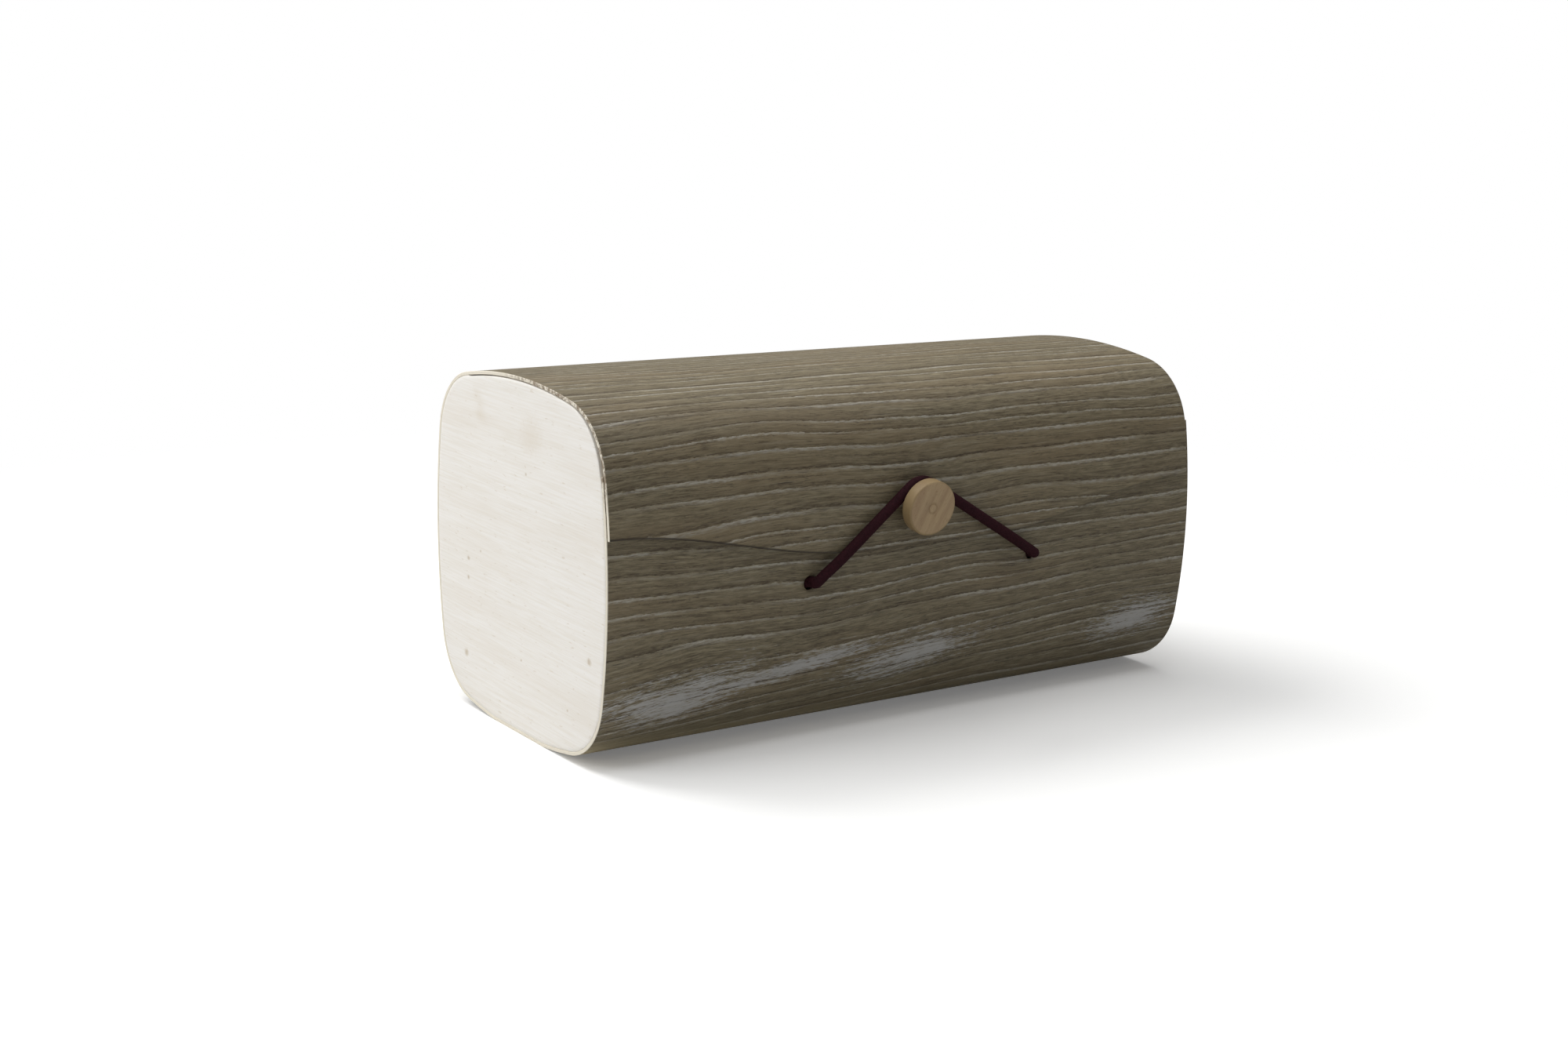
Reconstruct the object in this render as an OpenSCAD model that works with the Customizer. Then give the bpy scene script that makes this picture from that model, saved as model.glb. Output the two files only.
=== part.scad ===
// Bent-veneer keepsake box: two plywood ends, one veneer sheet bent round them, and a flap
// that an elastic loop holds down over a wooden button.
// X runs along the box, the front faces -Y and Z is up. The origin is the middle of the base flat.

/* [Overall size] */
// Length over the outer faces of the end panels
box_len = 204; // [160:1:300]
// Height from the base flat to the crown of the top
box_h = 100; // [90:1:130]
// Depth over the bulges of the front wall and the back
box_depth = 101; // [90:1:130]

/* [Rounded square section] */
// Radius of the four gently bulged sides
side_r = 178; // [150:1:300]
// Outer radius of the four corners
corner_r = 21.4; // [16:0.1:26]
// Width of the flat underneath that the box stands on
base_flat_w = 30; // [16:1:36]

/* [Sheet and panels] */
// Thickness of the veneer sheet
sheet_t = 1; // [0.6:0.1:1.4]
// Thickness of the plywood end panels
panel_t = 4; // [3:0.5:8]
// From the crown of the top down to the top edge of the front wall
front_wall_drop = 20; // [17:0.5:24]

/* [Bending top] */
// From the back of the box to the line where the top comes free of the panels
bend_back = 22.5; // [18:0.5:30]
// Width of each of the two bending strips
bend_w = 14; // [8:0.5:16]
// Gap between the free top and the edges of the panels
lid_gap = 0.3; // [0.2:0.05:0.6]
// How far the right edge of the free top has run in by the time it reaches the front
edge_run_in = 2; // [0:0.1:3]

/* [Flap] */
// Gap between the flap and the front wall that it laps over
lap_gap = 0.5; // [0.3:0.05:0.8]
// Outer radius of the bend between the free top and the flap's front
flap_corner_r = 22; // [17:0.5:27]
// From the crown down to the flap's edge at both ends
flap_end_drop = 36; // [30:0.5:40]
// From the crown down to the flap's edge along the middle of the tongue
tongue_drop = 46.8; // [43:0.2:50]
// Length of the straight stretch in the middle of the tongue
tongue_flat_w = 44; // [20:1:80]

/* [Button] */
// Diameter of the disc
disc_d = 15.6; // [14:0.2:20]
// Thickness of the disc
disc_t = 3.9; // [2.5:0.1:6]
// Radius that eases the two edges of the disc
disc_ease = 0.4; // [0.2:0.05:1]
// Diameter of the neck between the flap and the disc
neck_d = 9; // [6:0.2:11]
// Length of the neck along the middle of the button
neck_len = 4; // [3.8:0.1:6]
// Diameter of the dowel that pins the button to the flap
dowel_d = 2.6; // [2:0.1:4]
// How far the button faces down, in degrees
button_tilt = 8; // [0:1:10]
// Where the button sits along the box, from the middle
button_x = -4.6; // [-12:0.2:12]
// From the crown down to the middle of the button's foot
button_drop = 34.5; // [32:0.5:36]

/* [Elastic] */
// Diameter of the elastic cord
cord_d = 3; // [2:0.1:3.2]
// Diameter of the two holes in the front wall
hole_d = 4; // [3.6:0.1:5]
// Distance between the two holes
hole_spacing = 78.6; // [60:1:110]
// From the crown down to the middle of the holes
hole_drop = 54.2; // [53:0.2:62]
// Clearance round the cord where it passes the flap and the neck
cord_gap = 0.2; // [0.1:0.05:0.4]
// Gap between the swinging loop and the fixed ends of the cord
loop_gap = 0.3; // [0.2:0.05:0.6]
// Diameter of the knots inside the front wall
knot_d = 6.6; // [6:0.2:8]
// How far the tail of the cord stands out of each knot
tail_len = 5; // [2:0.5:8]

/* [Hidden] */
$fn = 96;
section_fn = 720;

// Points and centres are [y, z] pairs in the box's cross section
base_sag = side_r - sqrt(side_r * side_r - base_flat_w * base_flat_w / 4);
front_c = [side_r - box_depth / 2, box_h / 2];
back_c = [box_depth / 2 - side_r, box_h / 2];
top_c = [0, box_h - side_r];
base_c = [0, side_r - base_sag];

// The flap's front bulges round the same centre as the front wall, one gap and one sheet further out
flap_front_r = side_r + lap_gap + sheet_t;

front_wall_z = box_h - front_wall_drop;
free_y = box_depth / 2 - bend_back;
strip_y = free_y - bend_w;
flap_y = strip_y - bend_w;

flap_end_z = box_h - flap_end_drop;
tongue_z = box_h - tongue_drop;
edge_steps = 24;

button_z = box_h - button_drop;
button_y = flap_front_y(button_z);

hole_z = box_h - hole_drop;
hole_x = hole_spacing / 2;
hole_wall_y = front_c[0] - sqrt(pow(side_r, 2) - pow(hole_z - front_c[1], 2));

// The elastic lies in one upright plane, just clear of the flap's bulge
loop_y = -(box_depth / 2 + lap_gap + sheet_t + cord_gap + cord_d / 2);
neck_run = (button_y - loop_y) / cos(button_tilt);
neck_x = button_x;
neck_z = button_z - neck_run * sin(button_tilt);
wind_r = neck_d / 2 + cord_gap + cord_d / 2;
cord_sides = 16;
wind_steps = 14;

// Crossing of the circle of radius a round p with the one of radius b round q
function meet(p, a, q, b, side) =
    let (d = norm(q - p), u = (q - p) / d)
    let (s = (a * a - b * b + d * d) / (2 * d), h = sqrt(a * a - s * s))
    p + s * u + side * h * [-u[1], u[0]];

// Depth at which the flap's outer face lies at height z
function flap_front_y(z) = front_c[0] - sqrt(pow(flap_front_r, 2) - pow(z - front_c[1], 2));

// Height of the flap's edge at x: straight in the middle, then half a cosine wave up to the ends
function flap_edge_z(x) =
    let (run = (box_len - tongue_flat_w) / 2)
    let (t = max(0, abs(x) - tongue_flat_w / 2) / run)
    tongue_z + (flap_end_z - tongue_z) * (1 - cos(180 * t)) / 2;

// What lies outside a corner arc of radius r round c, between the two bulges round p and q
module corner_tip(c, p, q, r) {
    u = (c - p) / norm(c - p);
    v = (c - q) / norm(c - q);
    reach = 2 * corner_r;
    difference() {
        polygon([c, c + reach * u, c + reach * (u + v), c + reach * v]);
        translate(c) circle(r, $fn = section_fn);
    }
}

// Rounded square of four bulged sides and four tangent corners, drawn inset from the outside
module section(inset, front_r = side_r, front_top_r = corner_r) {
    front_top = meet(front_c, front_r - front_top_r, top_c, side_r - front_top_r, -1);
    back_top = meet(back_c, side_r - corner_r, top_c, side_r - corner_r, 1);
    front_base = meet(front_c, front_r - corner_r, base_c, side_r - corner_r, 1);
    back_base = meet(back_c, side_r - corner_r, base_c, side_r - corner_r, -1);
    difference() {
        intersection() {
            translate(front_c) circle(front_r - inset, $fn = section_fn);
            translate(back_c) circle(side_r - inset, $fn = section_fn);
            translate(top_c) circle(side_r - inset, $fn = section_fn);
            translate(base_c) circle(side_r - inset, $fn = section_fn);
            translate([-box_depth, inset]) square([2 * box_depth, box_h]);
        }
        corner_tip(front_top, front_c, top_c, front_top_r - inset);
        corner_tip(back_top, back_c, top_c, corner_r - inset);
        corner_tip(front_base, front_c, base_c, corner_r - inset);
        corner_tip(back_base, back_c, base_c, corner_r - inset);
    }
}

module flap_section(inset) {
    section(inset, flap_front_r, flap_corner_r);
}

// Carries a cross section along the box, from x0 over a length
module along_box(x0, length) {
    translate([x0, 0, 0]) rotate([90, 0, 90]) linear_extrude(length) children();
}

// The part of the cross section where the sheet isn't glued to the panels
module free_zone() {
    translate([free_y - 2 * box_depth, front_wall_z]) square([2 * box_depth, box_h]);
}

module sheet_ring() {
    difference() {
        section(0);
        section(sheet_t);
    }
}

// One plywood end, shaved back where the free top lies over it
module end_panel(x0) {
    color([0.91, 0.89, 0.86])
    along_box(x0, panel_t) {
        section(sheet_t + lid_gap);
        difference() {
            section(sheet_t);
            free_zone();
        }
    }
}

module left_end_panel() {
    end_panel(-box_len / 2);
}

module right_end_panel() {
    end_panel(box_len / 2 - panel_t);
}

// The glued part of the sheet: front wall, base, back and the rear of the top
module wrap_sheet() {
    color([0.37, 0.34, 0.27])
    difference() {
        along_box(-box_len / 2, box_len) {
            difference() {
                sheet_ring();
                free_zone();
            }
        }
        for (x = [-hole_x, hole_x])
            translate([x, hole_wall_y + hole_d, hole_z])
                rotate([90, 0, 0])
                cylinder(h = 2 * hole_d, d = hole_d);
    }
}

// What the trimmed right edge of the free top leaves out, from the bend line to the front
module right_trim() {
    run = free_y + box_depth / 2 + lap_gap + sheet_t;
    translate([box_len / 2, free_y, 0])
        rotate([0, 0, -atan(edge_run_in / run)])
        translate([0, -2 * box_depth, 0])
        cube([box_len, 2 * box_depth, 2 * box_h]);
}

// A stretch of the top that bends with the lid, between two lines across the section
module bend_strip(front_y, rear_y) {
    color([0.45, 0.42, 0.35])
    difference() {
        along_box(-box_len / 2, box_len) {
            intersection() {
                sheet_ring();
                translate([front_y, box_h / 2]) square([rear_y - front_y, box_h]);
            }
        }
        right_trim();
    }
}

module bend_strip_rear() {
    bend_strip(strip_y, free_y);
}

module bend_strip_front() {
    bend_strip(flap_y, strip_y);
}

// Everything below the flap's wavy edge, as a prism along Y
module below_flap_edge() {
    xs = [for (i = [-edge_steps:edge_steps]) box_len / 2 * i / edge_steps];
    wave = [for (x = xs) [x, flap_edge_z(x)]];
    rotate([90, 0, 0])
        linear_extrude(box_depth)
        polygon(concat(wave, [[box_len, flap_end_z], [box_len, -box_h], [-box_len, -box_h], [-box_len, flap_end_z]]));
}

// The free front of the top, the bend over the front and the tongue that laps the front wall
module lid_flap() {
    color([0.41, 0.38, 0.31])
    difference() {
        along_box(-box_len / 2, box_len) {
            intersection() {
                difference() {
                    flap_section(0);
                    flap_section(sheet_t);
                }
                translate([-box_depth, tongue_z - sheet_t]) square([box_depth + flap_y, box_h]);
            }
        }
        below_flap_edge();
        right_trim();
        at_button() dowel_hole();
    }
}

// Stands on the flap at the button's foot, with Z out along the button
module at_button() {
    translate([button_x, button_y, button_z]) rotate([90 + button_tilt, 0, 0]) children();
}

module dowel_hole() {
    translate([0, 0, -neck_len]) cylinder(h = 2 * neck_len + 2 * disc_t, d = dowel_d);
}

// The space that the flap's outer or inner face closes off behind the button
module behind_flap(inset) {
    along_box(button_x - disc_d, 2 * disc_d) flap_section(inset);
}

// The neck, its foot cut to the curve of the flap
module button_neck() {
    color([0.74, 0.62, 0.45])
    difference() {
        at_button() {
            difference() {
                translate([0, 0, -neck_len / 2]) cylinder(h = 1.5 * neck_len, d = neck_d);
                dowel_hole();
            }
        }
        behind_flap(0);
    }
}

// A turned disc with eased edges
module button_disc() {
    rim_r = disc_d / 2 - disc_ease;
    color([0.78, 0.66, 0.49])
    at_button() translate([0, 0, neck_len]) difference() {
        union() {
            cylinder(h = disc_t, r = rim_r);
            translate([0, 0, disc_ease]) cylinder(h = disc_t - 2 * disc_ease, d = disc_d);
            for (z = [disc_ease, disc_t - disc_ease])
                translate([0, 0, z]) rotate_extrude() translate([rim_r, 0]) circle(disc_ease);
        }
        translate([0, 0, -neck_len]) dowel_hole();
    }
}

// The dowel through disc, neck and flap, flush at both ends
module button_dowel() {
    color([0.68, 0.55, 0.38])
    difference() {
        at_button() translate([0, 0, -neck_len]) cylinder(h = 2 * neck_len + disc_t, d = dowel_d);
        behind_flap(sheet_t);
    }
}

// Ring of the cord round [x, z] point p, its plane turned to the angle a, with radius r
function cord_ring(p, a, r) = [
    for (k = [0:cord_sides - 1])
    let (out = r * cos(360 * k / cord_sides), along_y = r * sin(360 * k / cord_sides))
    [p[0] + out * cos(a), loop_y + along_y, p[1] + out * sin(a)]
];

// Rings along a leg that leaves the neck's circle at angle a and ends in a dome; way is 1 or -1
function leg_rings(a, length, way) = [
    for (k = [80, 55, 28, 0])
    let (run = length + cord_d / 2 * sin(k))
    let (x = neck_x + wind_r * cos(a) - way * run * sin(a), z = neck_z + wind_r * sin(a) + way * run * cos(a))
    cord_ring([x, z], a, cord_d / 2 * cos(k))
];

// The elastic outside the box: up from the left hole, over the neck and down to the right hole
module elastic_loop() {
    to_left = [-hole_x - neck_x, hole_z - neck_z];
    to_right = [hole_x - neck_x, hole_z - neck_z];
    left_angle = 360 + atan2(to_left[1], to_left[0]) - acos(wind_r / norm(to_left));
    right_angle = atan2(to_right[1], to_right[0]) + acos(wind_r / norm(to_right));
    wind = [
        for (i = [0:wind_steps])
        let (a = left_angle + (right_angle - left_angle) * i / wind_steps)
        cord_ring([neck_x + wind_r * cos(a), neck_z + wind_r * sin(a)], a, cord_d / 2)
    ];
    left_leg = leg_rings(left_angle, sqrt(pow(norm(to_left), 2) - pow(wind_r, 2)), 1);
    right_leg = leg_rings(right_angle, sqrt(pow(norm(to_right), 2) - pow(wind_r, 2)), -1);
    rings = concat(left_leg, wind, [for (i = [3:-1:0]) right_leg[i]]);
    n = cord_sides;
    last = (len(rings) - 1) * n;
    walls = [
        for (i = [0:len(rings) - 2], k = [0:n - 1])
        let (k2 = (k + 1) % n)
        each [[i * n + k, i * n + k2, i * n + n + k], [i * n + k2, i * n + n + k2, i * n + n + k]]
    ];
    ends = [[for (k = [n - 1:-1:0]) k], [for (k = [0:n - 1]) last + k]];
    color([0.24, 0.09, 0.12])
    polyhedron([for (ring = rings) each ring], concat(walls, ends));
}

// A knotted end of the cord: the stub in its hole, the knot against the wall and the tail
module cord_end(x) {
    stub_front_y = loop_y + cord_d / 2 + loop_gap;
    knot_y = hole_wall_y + sheet_t + knot_d * 0.4;
    color([0.24, 0.09, 0.12]) {
        translate([x, knot_y, hole_z]) rotate([90, 0, 0]) cylinder(h = knot_y - stub_front_y, d = cord_d);
        translate([x, knot_y, hole_z]) rotate([0, 140, 0]) cylinder(h = knot_d / 2 + tail_len, d = cord_d);
        intersection() {
            translate([x, knot_y, hole_z]) rotate([90, 0, 90]) sphere(d = knot_d);
            along_box(x - knot_d, 2 * knot_d) section(sheet_t);
        }
    }
}

module left_knot() {
    cord_end(-hole_x);
}

module right_knot() {
    cord_end(hole_x);
}

left_end_panel();
right_end_panel();
wrap_sheet();
bend_strip_rear();
bend_strip_front();
lid_flap();
button_neck();
button_disc();
button_dowel();
elastic_loop();
left_knot();
right_knot();
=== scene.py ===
# A bent-veneer box: two plywood ends, one stained veneer sheet bent round them, and a flap held down
# by an elastic loop over a turned wooden button. Lengths are in metres.
import math

import bpy
import numpy as np
from mathutils import Matrix, Vector


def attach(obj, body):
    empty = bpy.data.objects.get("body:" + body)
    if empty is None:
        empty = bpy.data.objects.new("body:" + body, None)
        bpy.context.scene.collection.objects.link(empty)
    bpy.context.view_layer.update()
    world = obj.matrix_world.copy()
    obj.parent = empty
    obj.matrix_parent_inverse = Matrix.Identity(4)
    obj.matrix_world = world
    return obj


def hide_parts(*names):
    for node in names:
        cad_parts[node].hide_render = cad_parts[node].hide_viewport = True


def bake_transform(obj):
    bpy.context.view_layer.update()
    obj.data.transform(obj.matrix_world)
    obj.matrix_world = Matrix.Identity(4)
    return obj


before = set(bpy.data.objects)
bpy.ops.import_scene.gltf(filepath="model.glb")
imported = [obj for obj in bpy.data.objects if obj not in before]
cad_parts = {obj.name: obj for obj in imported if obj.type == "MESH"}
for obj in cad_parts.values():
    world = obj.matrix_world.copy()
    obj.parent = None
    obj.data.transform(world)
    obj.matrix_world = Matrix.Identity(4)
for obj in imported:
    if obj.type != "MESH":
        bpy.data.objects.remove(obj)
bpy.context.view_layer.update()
scene = bpy.context.scene

# The camera
# It stands a little above the lid, to the left of the front. Its place was fitted to the outline of
# the box, and is given from the middle of the box, in the camera's own directions.
box_height = 0.1
azimuth, elevation, roll = (math.radians(a) for a in (-34.43, 11.71, 1.088))
camera_back, camera_right, camera_up = 0.62228, -0.01123, -0.00126
back = Vector((
    math.sin(azimuth) * math.cos(elevation),
    -math.cos(azimuth) * math.cos(elevation),
    math.sin(elevation),
))
level_right = Vector((0, 0, 1)).cross(back).normalized()
level_up = back.cross(level_right)
right = math.cos(roll) * level_right + math.sin(roll) * level_up
up = math.cos(roll) * level_up - math.sin(roll) * level_right
camera = bpy.data.objects.new("camera", bpy.data.cameras.new("camera"))
camera.data.sensor_width = 36
camera.data.lens = 47.57
place = Vector((0, 0, box_height / 2)) + camera_back * back + camera_right * right + camera_up * up
camera.matrix_world = Matrix.Translation(place) @ Matrix((right, up, back)).transposed().to_4x4()
scene.collection.objects.link(camera)
scene.camera = camera

# The elastic
# A braided cord, dark red, knotted inside both holes of the front wall and caught over the neck of
# the button. It is parted at the bend before each hole, where the loop swings: its ends stay in the
# wall. All parts end in half balls that lie inside each other, so a bend closes at any angle.
cord_r = 0.0015
hole_x, hole_z = 0.0393, 0.0458
loop_y = -0.0537
wall_y, wall_inside_y = -0.05045, -0.04945
neck_x, neck_z, wind_r = -0.0046, 0.06516, 0.0062
strands, plait_pitch, plait_depth = 8, 0.0032, 0.00009


def smooth_path(points, step, sharpness=0.5):
    """Catmull-Rom curve through the points, taken at even steps of its length."""
    p = np.asarray(points, float)
    p = np.vstack([2 * p[0] - p[1], p, 2 * p[-1] - p[-2]])
    t = np.linspace(0, 1, 24, endpoint=False)[:, None, None]
    a, b, c, d = p[:-3], p[1:-2], p[2:-1], p[3:]
    m, n = sharpness * (c - a), sharpness * (d - b)
    curve = (2 * t**3 - 3 * t**2 + 1) * b + (t**3 - 2 * t**2 + t) * m
    curve = curve + (3 * t**2 - 2 * t**3) * c + (t**3 - t**2) * n
    curve = np.vstack([curve.transpose(1, 0, 2).reshape(-1, 3), p[-2]])
    run = np.r_[0, np.cumsum(np.linalg.norm(np.diff(curve, axis=0), axis=1))]
    even = np.linspace(0, run[-1], int(run[-1] / step) + 1)
    return np.stack([np.interp(even, run, curve[:, k]) for k in range(3)], axis=1)


def knotted_end(side):
    """One end of the cord behind the wall, from its tail through an overhand knot."""
    turn = np.radians(np.linspace(-40, 560, 13))
    coil = np.stack([
        side * hole_x + 0.0017 * np.cos(turn),
        wall_inside_y + 0.0042 - 0.0019 * np.linspace(-0.6, 1, 13),
        hole_z + 0.0017 * np.sin(turn),
    ], axis=1)
    tail = np.array([[side * hole_x + 0.0052, wall_inside_y + 0.0028, hole_z - 0.0058],
                     [side * hole_x + 0.0033, wall_inside_y + 0.0048, hole_z - 0.0028]])
    return np.vstack([tail, coil])


def leg_and_wind():
    """The cord from hole to hole: tangents to the circle round the neck, and the arc between them. Each
    leg turns out of its hole near the line it swings about, and reaches the loop's upright plane higher
    up. The third point of a leg is its bend."""
    neck = np.array([neck_x, neck_z])
    angles = []
    for side in (-1, 1):
        to = np.array([side * hole_x, hole_z]) - neck
        angles.append(math.atan2(to[1], to[0]) + side * math.acos(wind_r / np.hypot(*to)))
    start, end = angles[0] + 2 * math.pi, angles[1]
    start = start if start - end < 2 * math.pi else start - 2 * math.pi
    a = np.linspace(start, end, 9)
    wind = np.stack([neck_x + wind_r * np.cos(a), np.full(9, loop_y), neck_z + wind_r * np.sin(a)], axis=1)
    legs = []
    for side, top in ((-1, wind[0]), (1, wind[-1])):
        foot = np.array([side * hole_x, loop_y, hole_z])
        way = (top - foot) / np.linalg.norm(top - foot)
        lift = ((0.0004, 0.0039), (0.0005, 0.0023), (0.00095, 0.00095), (0.004, 0.00075), (0.007, 0.0004), (0.011, 0.0001))
        near = [foot + way * run + np.array([0, back_by, 0]) for run, back_by in lift]
        legs.append(near + [foot + (top - foot) * t for t in (0.5, 0.7, 0.9)])
    return legs[0], wind, legs[1]


def tube(path, radius_at, sides):
    """Grid of points round a path drawn out to a half ball at each end: the frame is carried along it
    with the least turn."""
    t = np.radians(np.linspace(0, 84, 9))[1:]
    first, last = path[0] - path[1], path[-1] - path[-2]
    before = path[0] + cord_r * np.outer(np.sin(t[::-1]), first / np.linalg.norm(first))
    after = path[-1] + cord_r * np.outer(np.sin(t), last / np.linalg.norm(last))
    shrink = np.r_[np.cos(t[::-1]), np.ones(len(path)), np.cos(t)]
    path = np.vstack([before, path, after])
    tangent = np.gradient(path, axis=0)
    tangent /= np.linalg.norm(tangent, axis=1)[:, None]
    across = np.empty_like(tangent)
    across[0] = np.cross(tangent[0], [0.0, 0.0, 1.0])
    for i in range(1, len(path)):
        across[i] = across[i - 1] - tangent[i] * (across[i - 1] @ tangent[i])
        across[i] /= np.linalg.norm(across[i])
    across /= np.linalg.norm(across, axis=1)[:, None]
    over = np.cross(tangent, across)
    angle = np.linspace(0, 2 * math.pi, sides, endpoint=False)
    run = np.r_[0, np.cumsum(np.linalg.norm(np.diff(path, axis=0), axis=1))]
    radius = (shrink[:, None] * radius_at(run[:, None], angle[None, :]))[..., None]
    ring = np.cos(angle)[None, :, None] * across[:, None] + np.sin(angle)[None, :, None] * over[:, None]
    return path[:, None] + radius * ring


def grid_faces(rows, columns, closed_rows=False):
    """Quads of a grid of points whose columns run round; the rows run round too where closed_rows."""
    i = np.arange(rows if closed_rows else rows - 1)[:, None]
    k = np.arange(columns)[None, :]
    i2, k2 = (i + 1) % rows, (k + 1) % columns
    quads = np.stack([i * columns + k, i * columns + k2, i2 * columns + k2, i2 * columns + k], axis=-1)
    return quads.reshape(-1, 4)


def make_piece(name, points, faces, materials, smooth_angle=math.radians(35)):
    """A mesh object at the origin, its faces turned outwards by the sign of the volume they close."""
    points = np.asarray(points, float).reshape(-1, 3)
    faces = [list(map(int, f)) for f in faces]
    volume = 0.0
    for f in faces:
        a = points[f[0]]
        for b, c in zip(f[1:-1], f[2:]):
            volume += a @ np.cross(points[b], points[c])
    if volume < 0:
        faces = [f[::-1] for f in faces]
    mesh = bpy.data.meshes.new(name)
    mesh.from_pydata(points.tolist(), [], faces)
    mesh.update()
    mesh.shade_smooth()
    mesh.set_sharp_from_angle(angle=smooth_angle)
    for material in materials:
        mesh.materials.append(material)
    piece = bpy.data.objects.new(name, mesh)
    scene.collection.objects.link(piece)
    return piece


def plait(run, angle):
    """Radius of the braid: two families of strands cross, and each is proud where it lies on top."""
    one = np.cos(strands * angle / 2 + 2 * math.pi * run / plait_pitch * 2)
    two = np.cos(strands * angle / 2 - 2 * math.pi * run / plait_pitch * 2)
    return cord_r - plait_depth + plait_depth * np.maximum(np.abs(one), np.abs(two))


def add(tree, kind, inputs=(), **settings):
    """Adds a shader node. inputs gives each socket, by name or number, a value or another's output."""
    made = tree.nodes.new(kind)
    for name, value in settings.items():
        setattr(made, name, value)
    for key, value in dict(inputs).items():
        if isinstance(value, bpy.types.NodeSocket):
            tree.links.new(value, made.inputs[key])
        else:
            made.inputs[key].default_value = value
    return made


def calc(tree, operation, *values, clamp=False):
    """One step of arithmetic on values or outputs."""
    return add(tree, "ShaderNodeMath", enumerate(values), operation=operation, use_clamp=clamp).outputs[0]


def blend_colours(tree, factor, first, second, mode="MIX"):
    made = add(tree, "ShaderNodeMix", {0: factor, 6: first, 7: second}, data_type="RGBA", blend_type=mode)
    return made.outputs[2]


def noise(tree, vector, scale, detail=2.0, roughness=0.5):
    made = add(tree, "ShaderNodeTexNoise", {"Vector": vector, "Scale": scale, "Detail": detail, "Roughness": roughness})
    return made.outputs["Fac"]


def stretched(tree, vector, scale, turn=0.0):
    """The coordinates scaled by three factors, to draw a pattern out along one direction."""
    return add(tree, "ShaderNodeMapping", {"Vector": vector, "Scale": scale, "Rotation": (0, 0, turn)}).outputs[0]


def step_between(tree, value, low, high, to_low=0.0, to_high=1.0):
    """Smooth step of a value from low to high."""
    made = add(tree, "ShaderNodeMapRange", {0: value, 1: low, 2: high, 3: to_low, 4: to_high})
    made.interpolation_type = "SMOOTHSTEP"
    return made.outputs[0]


def new_material(name, roughness):
    """A material with its tree, and its Principled shader with plain values."""
    material = bpy.data.materials.new(name)
    material.use_nodes = True
    tree = material.node_tree
    shader = tree.nodes["Principled BSDF"]
    shader.inputs["Roughness"].default_value = roughness
    return material, tree, shader


def linear(red, green, blue):
    """A colour given as 0 to 255 in sRGB, as the shader wants it."""
    c = np.array([red, green, blue]) / 255
    c = np.where(c <= 0.04045, c / 12.92, ((c + 0.055) / 1.055) ** 2.4)
    return (*c, 1.0)


elastic, tree, shader = new_material("dark_red_braid", 0.8)
shader.inputs["Specular IOR Level"].default_value = 0.15
where = add(tree, "ShaderNodeTexCoord").outputs["Object"]
fuzz = noise(tree, where, 1800, 3)
patches = noise(tree, where, 260, 2)
colour = blend_colours(tree, fuzz, linear(30, 10, 15), linear(66, 27, 36))
colour = blend_colours(tree, step_between(tree, patches, 0.45, 0.75, 0, 0.35), colour, linear(24, 8, 12))
tree.links.new(colour, shader.inputs["Base Color"])
tree.links.new(
    add(tree, "ShaderNodeBump", {"Height": fuzz, "Strength": 0.5, "Distance": 0.00008}).outputs[0],
    shader.inputs["Normal"],
)
left_leg, wind, right_leg = leg_and_wind()
route = np.vstack([knotted_end(-1), left_leg, wind, right_leg[::-1], knotted_end(1)[::-1]])
route = smooth_path(route, 0.00016)
cord_sides = 32
left_bend, right_bend = (np.argmin(np.linalg.norm(route - leg[2], axis=1)) for leg in (left_leg, right_leg))
for name, part, body, node in (
    ("elastic_left_end", route[:left_bend + 1], "box", "left_knot"),
    ("elastic_over_button", route[left_bend:right_bend + 1], "loop", "elastic_loop"),
    ("elastic_right_end", route[right_bend:], "box", "right_knot"),
):
    grid = tube(part, plait, cord_sides)
    last = (len(grid) - 1) * cord_sides
    cord_faces = grid_faces(len(grid), cord_sides).tolist()
    cord_faces += [list(range(cord_sides))[::-1], [last + k for k in range(cord_sides)]]
    cord = make_piece(name, grid, cord_faces, [elastic], math.radians(80))
    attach(cord, body)
    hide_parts(node)

# The veneer sheet
# One sheet of oak veneer, stained grey-brown and limed outside, raw inside. It starts at the top edge
# of the front wall and goes down, under, up the back and over the top, and ends in the wavy flap.
sheet_t, box_length, box_depth = 0.001, 0.204, 0.101
side_r, corner_r, flap_corner_r, lap_gap, base_half = 0.178, 0.0214, 0.022, 0.0005, 0.015
front_wall_z, ease = 0.08, 0.00013
free_y, edge_run_in, front_reach = 0.028, 0.002, 0.052
front_c = np.array([side_r - box_depth / 2, box_height / 2])
back_c = np.array([box_depth / 2 - side_r, box_height / 2])
top_c = np.array([0, box_height - side_r])
base_c = np.array([0, side_r - (side_r - math.sqrt(side_r**2 - base_half**2))])
flap_front_r = side_r + lap_gap + sheet_t
bend_pitch = 0.014
bend_ys = [0.035 - bend_pitch * i for i in range(4)]


def meet(p, a, q, b, side):
    """Crossing of the circle of radius a round p with the one of radius b round q."""
    d = np.linalg.norm(q - p)
    u = (q - p) / d
    s = (a * a - b * b + d * d) / (2 * d)
    return p + s * u + side * math.sqrt(a * a - s * s) * np.array([-u[1], u[0]])


def heading(start, end):
    """Angle of the way from one point of the section to another, from 0 to a full turn."""
    return math.atan2(end[1] - start[1], end[0] - start[0]) % (2 * math.pi)


def arc(centre, radius, start, end, step=0.0015):
    """Rows of [y, z, out_y, out_z] along a circle's arc."""
    angle = np.linspace(start, end, max(3, int(abs(end - start) * radius / step) + 2))
    out = np.stack([np.cos(angle), np.sin(angle)], axis=1)
    return np.hstack([centre + radius * out, out])


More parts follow.
